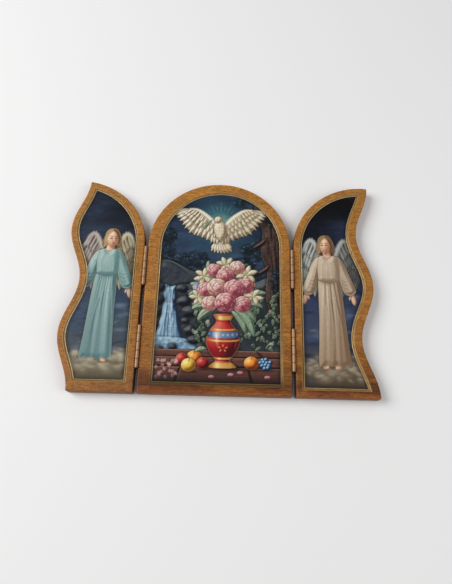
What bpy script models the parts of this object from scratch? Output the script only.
"""Small wooden triptych, open flat on its back.

Three boards carry a printed picture each, in a bevelled recess. Two pairs of
brass butt hinges join the wings to the centre board, so that they fold
forward and shut over its picture. The wings' free edges are one shared wave.

Metres. +X to the right, +Y up the picture, +Z out of its face. The origin is
the middle of the centre board's back.
"""

import math

import bmesh
import bpy
from mathutils import Matrix, Vector
from mathutils.geometry import intersect_line_line_2d

# The boards
CENTRE_WIDTH = 0.088
BOARD_HEIGHT = 0.135
BOARD_THICKNESS = 0.007
EDGE_ROUNDING = 0.0007

# The wave where the shut wings meet, its middle line's place to the right of the
# centre board's middle, and the room left between them
WAVE_REACH = 0.0044
WAVE_SHIFT = -0.00075
WAVE_COUNT = 2
WING_CLEARANCE = 0.0020

# The recesses: a border of wood, then a slope whose width equals the depth
CENTRE_BORDER = 0.0060
CENTRE_FOOT_BORDER = 0.0053
LEFT_BORDER = 0.0038
LEFT_FOOT_BORDER = 0.0056
RIGHT_BORDER = 0.0043
RIGHT_FOOT_BORDER = 0.0041
RECESS_DEPTH = 0.0012

# The recesses are cut a little off the boards' middles, to the right if positive
CENTRE_RECESS_SHIFT = 0.00095
LEFT_RECESS_SHIFT = -0.00035
RIGHT_RECESS_SHIFT = -0.00060

# The printed cards that lie in the recesses
PRINT_THICKNESS = 0.0004
PRINT_SIDE_CLEARANCE = 0.0003
PRINT_SEAT_GAP = 0.0003

# The hinges, in the gap between two boards
HINGE_GAP = 0.0021
HINGE_LENGTH = 0.0250
HINGE_UPPER_MIDDLE = 0.0771
HINGE_LOWER_MIDDLE = 0.0267
KNUCKLE_COUNT = 5
KNUCKLE_GAP = 0.0002
BARREL_RADIUS = 0.00095
BORE_RADIUS = 0.00055
PIN_RADIUS = 0.00045
PIN_OVERHANG = 0.0003
AXIS_ABOVE_FACE = 0.0005
LEAF_THICKNESS = 0.0006
LEAF_WIDTH = 0.0064
LEAF_BARREL_GAP = 0.0002

# The nails, two in each leaf
NAIL_SPREAD = 0.0140
NAIL_RADIUS = 0.00055
NAIL_LENGTH = 0.0065
NAIL_HEAD_RADIUS = 0.0010
NAIL_HEAD_DEPTH = 0.0005
NAIL_POINT_LENGTH = 0.0011
NAIL_POINT_RADIUS = 0.0002
NAIL_CLEARANCE = 0.0001

# How finely curves are cut
ARCH_STEPS = 48
WAVE_STEPS = 44
BARREL_SIDES = 16
NAIL_SIDES = 8
MERGE_DISTANCE = 1e-6
TIP_ROUNDS = 20

# Angles between faces: less is flat, less is shaded smooth, more is rounded off
FLAT_ANGLE = math.radians(0.2)
SMOOTH_ANGLE = math.radians(35)
ROUNDED_ANGLE = math.radians(50)

# Where things are
SPRING_HEIGHT = BOARD_HEIGHT - CENTRE_WIDTH / 2
AXIS_X = CENTRE_WIDTH / 2 + HINGE_GAP / 2
AXIS_Z = BOARD_THICKNESS + AXIS_ABOVE_FACE
FOOT_Y = -BOARD_HEIGHT / 2
RECESS_FLOOR_Z = BOARD_THICKNESS - RECESS_DEPTH
NAIL_Z = AXIS_Z - (BARREL_RADIUS + LEAF_WIDTH) / 2

# How far the recess cutters' slopes run on above the boards' faces
OVERCUT = 0.0005

for old in list(bpy.data.objects):
    bpy.data.objects.remove(old)


def new_collection(name, in_render=True):
    made = bpy.data.collections.new(name)
    made.hide_render = not in_render
    bpy.context.scene.collection.children.link(made)
    return made


TRIPTYCH = new_collection("triptych")
CUTTERS = new_collection("cutters", in_render=False)


def material(name, colour, roughness, metallic=0.0):
    made = bpy.data.materials.new(name)
    made.use_nodes = True
    shader = made.node_tree.nodes["Principled BSDF"]
    shader.inputs["Base Color"].default_value = (*colour, 1.0)
    shader.inputs["Roughness"].default_value = roughness
    shader.inputs["Metallic"].default_value = metallic
    return made


WOOD = material("stained_wood", (0.36, 0.15, 0.045), 0.45)
CENTRE_PICTURE = material("centre_picture", (0.13, 0.14, 0.16), 0.3)
LEFT_PICTURE = material("left_picture", (0.16, 0.25, 0.27), 0.3)
RIGHT_PICTURE = material("right_picture", (0.30, 0.23, 0.17), 0.3)
BRASS = material("brass", (0.62, 0.40, 0.24), 0.35, 1.0)


def add_object(name, data, collection=TRIPTYCH, finish=None, parent=None):
    obj = bpy.data.objects.new(name, data)
    collection.objects.link(obj)
    obj.parent = parent
    if finish:
        data.materials.append(finish)
    return obj


def add_cutter(name, data):
    cutter = add_object(name, data, CUTTERS)
    cutter.hide_render = True
    cutter.display_type = "WIRE"
    return cutter


# Outlines are lists of runs, anticlockwise. A run is a smooth stretch of points
# from one corner to the next. Heights are measured from the boards' foot.


def arc(centre, radius, start, end, steps):
    """Points on a circle, both ends included, angles in radians."""
    angles = [start + (end - start) * i / steps for i in range(steps + 1)]
    return [centre + radius * Vector((math.cos(a), math.sin(a))) for a in angles]


def centre_runs():
    half = CENTRE_WIDTH / 2
    foot = [Vector((-half, 0)), Vector((half, 0))]
    arch = arc(Vector((0, SPRING_HEIGHT)), half, 0, math.pi, ARCH_STEPS)
    return [foot, [foot[1], *arch, foot[0]]]


def wave(height):
    """How far the line between the shut wings lies right of the middle."""
    return WAVE_SHIFT - WAVE_REACH * math.cos(2 * math.pi * WAVE_COUNT * height / BOARD_HEIGHT)


def wing_reach(height, side):
    """A wing's free edge, from the middle of the shut triptych. side is -1 for the left wing."""
    return -side * wave(height) - WING_CLEARANCE / 2


def tip_height(side):
    """Where the wave meets the arch."""
    height = BOARD_HEIGHT
    for _ in range(TIP_ROUNDS):
        across = wing_reach(height, side)
        height = SPRING_HEIGHT + math.sqrt((CENTRE_WIDTH / 2) ** 2 - across**2)
    return height


def wing_runs(side):
    """A wing's outline, measured outwards from its hinge axis. The left one is mirrored later."""
    inner = HINGE_GAP / 2
    top = tip_height(side)
    heights = [top * i / WAVE_STEPS for i in range(WAVE_STEPS + 1)]
    free_edge = [Vector((AXIS_X + wing_reach(h, side), h)) for h in heights]
    arch_centre = Vector((AXIS_X, SPRING_HEIGHT))
    to_tip = free_edge[-1] - arch_centre
    start = math.atan2(to_tip.y, to_tip.x)
    arch = arc(arch_centre, CENTRE_WIDTH / 2, start, math.pi, ARCH_STEPS // 2)
    foot = [Vector((inner, 0)), free_edge[0]]
    return [foot, free_edge, [*arch, foot[0]]]


def offset_run(run, distance):
    """The run moved inwards, square to its own direction."""
    moved = []
    for i, point in enumerate(run):
        before = run[max(i - 1, 0)]
        after = run[min(i + 1, len(run) - 1)]
        along = (after - before).normalized()
        moved.append(point + distance * Vector((-along.y, along.x)))
    return moved


def crossing(first, second):
    """Where the end of one run crosses the start of the next: two indices and the point."""
    for i in reversed(range(len(first) - 1)):
        for j in range(len(second) - 1):
            point = intersect_line_line_2d(*first[i : i + 2], *second[j : j + 2])
            if point:
                return i, j, point
    raise ValueError("the border is too wide for this board")


def outline(runs):
    """The closed outline that the runs make."""
    return [point for run in runs for point in run[:-1]]


def inset_outline(runs, border, foot_border, extra=0.0):
    """The outline moved inwards by its borders and trimmed at its corners. The foot is the first run."""
    insets = [foot_border + extra] + [border + extra] * (len(runs) - 1)
    moved = [offset_run(run, inset) for run, inset in zip(runs, insets)]
    corners = [crossing(moved[i - 1], moved[i]) for i in range(len(moved))]
    points = []
    for i, run in enumerate(moved):
        start = corners[i]
        end = corners[(i + 1) % len(moved)]
        points += [start[2], *run[start[1] + 1 : end[0] + 1]]
    return points


def plate(name, outlines, low, high, slope=0.0):
    """A mesh of the outlines, the inner ones as holes, from one height to another.

    A slope widens it from the low face up, at 45 degrees.
    """
    curve = bpy.data.curves.new(name, "CURVE")
    curve.dimensions = "2D"
    curve.fill_mode = "BOTH"
    curve.extrude = (high - low) / 2 - slope
    curve.bevel_depth = slope
    curve.bevel_resolution = 0
    for points in outlines:
        spline = curve.splines.new("POLY")
        spline.points.add(len(points) - 1)
        spline.use_cyclic_u = True
        for spline_point, point in zip(spline.points, points):
            spline_point.co = (point.x, point.y, 0, 1)
    guide = add_object(name, curve, CUTTERS)
    guide.location.z = (low + high) / 2
    bpy.context.view_layer.update()
    graph = bpy.context.evaluated_depsgraph_get()
    mesh = bpy.data.meshes.new_from_object(guide.evaluated_get(graph))
    mesh.transform(guide.matrix_world)
    bpy.data.objects.remove(guide)
    body = bmesh.new()
    body.from_mesh(mesh)
    bmesh.ops.remove_doubles(body, verts=body.verts, dist=MERGE_DISTANCE)
    # Each flat side becomes one face, so that rounding its rim meets no thin triangles.
    bmesh.ops.dissolve_limit(body, angle_limit=FLAT_ANGLE, verts=body.verts, edges=body.edges)
    bmesh.ops.recalc_face_normals(body, faces=body.faces)
    body.to_mesh(mesh)
    body.free()
    return mesh


def round_edges(obj, width, segments):
    bevel = obj.modifiers.new("rounding", "BEVEL")
    bevel.width = width
    bevel.segments = segments
    bevel.limit_method = "ANGLE"
    bevel.angle_limit = ROUNDED_ANGLE


def combine(obj, other, operation):
    joined = obj.modifiers.new(f"{operation.lower()}_{other.name}", "BOOLEAN")
    joined.operation = operation
    joined.object = other


def smooth(obj):
    obj.data.shade_smooth()
    obj.data.set_sharp_from_angle(angle=SMOOTH_ANGLE)


def place_board(obj, side):
    """Moves a mesh drawn from the foot, or from a hinge axis, to where its parent needs it."""
    if side < 0:
        obj.data.transform(Matrix.Scale(-1, 4, (1, 0, 0)))
        obj.data.flip_normals()
    drop = Vector((0, FOOT_Y, -AXIS_Z if side else 0))
    obj.data.transform(Matrix.Translation(drop))


def build_panel(name, runs, side, borders, shift, picture, parent):
    """A board with its recess, and the print that lies in it. borders are the sides' and the foot's."""
    board = add_object(
        f"{name}_board",
        plate(f"{name}_board", [outline(runs)], 0, BOARD_THICKNESS),
        finish=WOOD,
        parent=parent,
    )
    place_board(board, side)
    smooth(board)
    round_edges(board, EDGE_ROUNDING, 2)

    recess = inset_outline(runs, *borders, RECESS_DEPTH)
    slope = RECESS_DEPTH + OVERCUT
    recess_top = RECESS_FLOOR_Z + 2 * slope
    cutter = add_cutter(
        f"{name}_recess",
        plate(f"{name}_recess", [recess], RECESS_FLOOR_Z, recess_top, slope),
    )
    cutter.parent = parent
    place_board(cutter, side)
    cutter.location.x = shift
    combine(board, cutter, "DIFFERENCE")

    low = RECESS_FLOOR_Z + PRINT_SEAT_GAP
    card = inset_outline(runs, *borders, RECESS_DEPTH + PRINT_SIDE_CLEARANCE)
    sheet = add_object(
        f"{name}_print",
        plate(f"{name}_print", [card], low, low + PRINT_THICKNESS),
        finish=picture,
        parent=parent,
    )
    place_board(sheet, side)
    sheet.location.x = shift
    smooth(sheet)
    return board


def cylinder(radius, length, sides):
    """A closed round bar along Y, about the origin."""
    body = bmesh.new()
    bmesh.ops.create_cone(
        body,
        cap_ends=True,
        segments=sides,
        radius1=radius,
        radius2=radius,
        depth=length,
        matrix=Matrix.Rotation(math.pi / 2, 4, "X"),
    )
    mesh = bpy.data.meshes.new("bar")
    body.to_mesh(mesh)
    body.free()
    return mesh


def box(low, high):
    body = bmesh.new()
    bmesh.ops.create_cube(body, size=1)
    low = Vector(low)
    high = Vector(high)
    scale = Matrix.Diagonal((*(high - low), 1))
    middle = Matrix.Translation((low + high) / 2)
    bmesh.ops.transform(body, matrix=middle @ scale, verts=body.verts)
    mesh = bpy.data.meshes.new("box")
    body.to_mesh(mesh)
    body.free()
    return mesh


def baked(obj):
    """The object's mesh with its modifiers applied, for a shape that several objects share."""
    bpy.context.view_layer.update()
    graph = bpy.context.evaluated_depsgraph_get()
    mesh = bpy.data.meshes.new_from_object(obj.evaluated_get(graph))
    bpy.data.objects.remove(obj)
    return mesh


def leaf_profile():
    """A leaf seen from the foot: a strip on the +X side, curled right round the axis, and its bore."""
    inner = BARREL_RADIUS - LEAF_THICKNESS
    axis = Vector((0, 0))
    seam = 2 * math.pi - math.acos(inner / BARREL_RADIUS)
    curl = arc(axis, BARREL_RADIUS, 0, seam, BARREL_SIDES)
    strip = [Vector((inner, -LEAF_WIDTH)), Vector((BARREL_RADIUS, -LEAF_WIDTH))]
    bore = arc(axis, BORE_RADIUS, 0, 2 * math.pi, BARREL_SIDES)[:-1]
    return [[*curl, *strip], bore]


def leaf_mesh(name, own_knuckles):
    """A hinge leaf on the +X side of its axis. It is notched where the other leaf's knuckles go."""
    half = HINGE_LENGTH / 2
    pitch = (HINGE_LENGTH + KNUCKLE_GAP) / KNUCKLE_COUNT
    leaf = add_object(name, plate(name, leaf_profile(), -half, half), CUTTERS)
    leaf.data.transform(Matrix.Rotation(math.pi / 2, 4, "X"))
    room = BARREL_RADIUS + LEAF_BARREL_GAP
    for number in range(KNUCKLE_COUNT):
        if number in own_knuckles:
            continue
        start = -half + number * pitch - KNUCKLE_GAP
        end = start + pitch + KNUCKLE_GAP
        notch = box((-room, start, -room), (room, end, room))
        combine(leaf, add_cutter(f"{name}_notch_{number}", notch), "DIFFERENCE")
    for i in (-1, 1):
        cutter = add_cutter(f"{name}_hole_{i}", nail_hole())
        cutter.matrix_world = nail_place(i)
        combine(leaf, cutter, "DIFFERENCE")
    mesh = baked(leaf)
    mesh.materials.append(BRASS)
    return mesh


def nail_place(i):
    """A nail's place on the +X leaf: its shank along +X, the rim of its head at the leaf's inner face."""
    spot = (BARREL_RADIUS - LEAF_THICKNESS, i * NAIL_SPREAD / 2, NAIL_Z - AXIS_Z)
    return Matrix.Translation(spot) @ Matrix.Rotation(-math.pi / 2, 4, "Z")


def turned(stations):
    """A closed solid turned about Y from (radius, place) stations that start and end on the axis."""
    profile = bpy.data.meshes.new("profile")
    edges = [(i, i + 1) for i in range(len(stations) - 1)]
    profile.from_pydata([(radius, place, 0) for radius, place in stations], edges, [])
    guide = add_object("profile", profile, CUTTERS)
    screw = guide.modifiers.new("turned", "SCREW")
    screw.axis = "Y"
    screw.steps = NAIL_SIDES
    screw.render_steps = NAIL_SIDES
    screw.use_merge_vertices = True
    screw.merge_threshold = MERGE_DISTANCE
    mesh = baked(guide)
    body = bmesh.new()
    body.from_mesh(mesh)
    bmesh.ops.remove_doubles(body, verts=body.verts, dist=MERGE_DISTANCE)
    bmesh.ops.recalc_face_normals(body, faces=body.faces)
    body.to_mesh(mesh)
    body.free()
    return mesh


def nail_mesh():
    """A countersunk nail along +Y, from the flat of its head to its blunt point."""
    return turned([
        (0, 0),
        (NAIL_HEAD_RADIUS, 0),
        (NAIL_RADIUS, NAIL_HEAD_DEPTH),
        (NAIL_RADIUS, NAIL_LENGTH - NAIL_POINT_LENGTH),
        (NAIL_POINT_RADIUS, NAIL_LENGTH),
        (0, NAIL_LENGTH),
    ])


def nail_hole():
    """The nail's hole. Its cone runs on past the leaf's face, so that it cuts cleanly through."""
    shank = NAIL_RADIUS + NAIL_CLEARANCE
    flare = (NAIL_HEAD_RADIUS - NAIL_RADIUS) / NAIL_HEAD_DEPTH
    mouth = NAIL_HEAD_RADIUS + NAIL_CLEARANCE + flare * NAIL_CLEARANCE
    end = NAIL_LENGTH + NAIL_CLEARANCE
    return turned([
        (0, -NAIL_CLEARANCE),
        (mouth, -NAIL_CLEARANCE),
        (shank, NAIL_HEAD_DEPTH),
        (shank, end),
        (0, end),
    ])


def pin_mesh():
    length = HINGE_LENGTH + 2 * PIN_OVERHANG
    mesh = cylinder(PIN_RADIUS, length, BARREL_SIDES)
    mesh.materials.append(BRASS)
    return mesh


def axis_empty(name, side):
    """The empty on a wing's joint axis, which carries the wing."""
    empty = bpy.data.objects.new(name, None)
    TRIPTYCH.objects.link(empty)
    empty.location = (side * AXIS_X, 0, AXIS_Z)
    return empty


def build_hinge(name, side, height, leaves, pin, nail, centre_board, wing, wing_board):
    """One hinge: two leaves, their pin and four nails, with a pilot hole in the wood for each nail."""
    # The shapes are drawn for the left gap, whose +X side is the centre board.
    facing = Matrix.Rotation(math.pi if side > 0 else 0, 4, "Z")
    place = Matrix.Translation((side * AXIS_X, FOOT_Y + height, AXIS_Z)) @ facing
    flip = Matrix.Rotation(math.pi, 4, "Z")
    owners = {
        "centre": (place, centre_board, None),
        "wing": (place @ flip, wing_board, wing),
    }
    for owner, (where, board, parent) in owners.items():
        leaf = add_object(f"{name}_{owner}_leaf", leaves[owner])
        stand(leaf, where, parent)
        smooth(leaf)
        for number, i in enumerate((-1, 1), 1):
            spike = add_object(f"{name}_{owner}_nail_{number}", nail)
            stand(spike, where @ nail_place(i), parent)
            pilot = add_cutter(f"{spike.name}_hole", nail_hole())
            stand(pilot, where @ nail_place(i), parent)
            combine(board, pilot, "DIFFERENCE")
    rod = add_object(f"{name}_pin", pin)
    rod.matrix_world = place
    smooth(rod)


def stand(obj, where, parent):
    """Puts an object at a place in the world, on a parent that is moved but not turned."""
    obj.parent = parent
    away = parent.location if parent else Vector((0, 0, 0))
    obj.matrix_basis = Matrix.Translation(-away) @ where


def build_triptych():
    centre_borders = (CENTRE_BORDER, CENTRE_FOOT_BORDER)
    centre_board = build_panel(
        "centre", centre_runs(), 0, centre_borders, CENTRE_RECESS_SHIFT, CENTRE_PICTURE, None
    )
    leaves = {
        "centre": leaf_mesh("centre_leaf", range(0, KNUCKLE_COUNT, 2)),
        "wing": leaf_mesh("wing_leaf", range(1, KNUCKLE_COUNT, 2)),
    }
    pin = pin_mesh()
    nail = nail_mesh()
    nail.materials.append(BRASS)
    wings = {
        "left": (-1, (LEFT_BORDER, LEFT_FOOT_BORDER), LEFT_RECESS_SHIFT, LEFT_PICTURE),
        "right": (1, (RIGHT_BORDER, RIGHT_FOOT_BORDER), RIGHT_RECESS_SHIFT, RIGHT_PICTURE),
    }
    heights = {"upper": HINGE_UPPER_MIDDLE, "lower": HINGE_LOWER_MIDDLE}
    for name, (side, borders, shift, picture) in wings.items():
        wing = axis_empty(f"{name}_wing_axis", side)
        board = build_panel(name, wing_runs(side), side, borders, shift, picture, wing)
        for level, height in heights.items():
            hinge = f"{name}_{level}_hinge"
            build_hinge(hinge, side, height, leaves, pin, nail, centre_board, wing, board)


build_triptych()
bpy.context.view_layer.update()
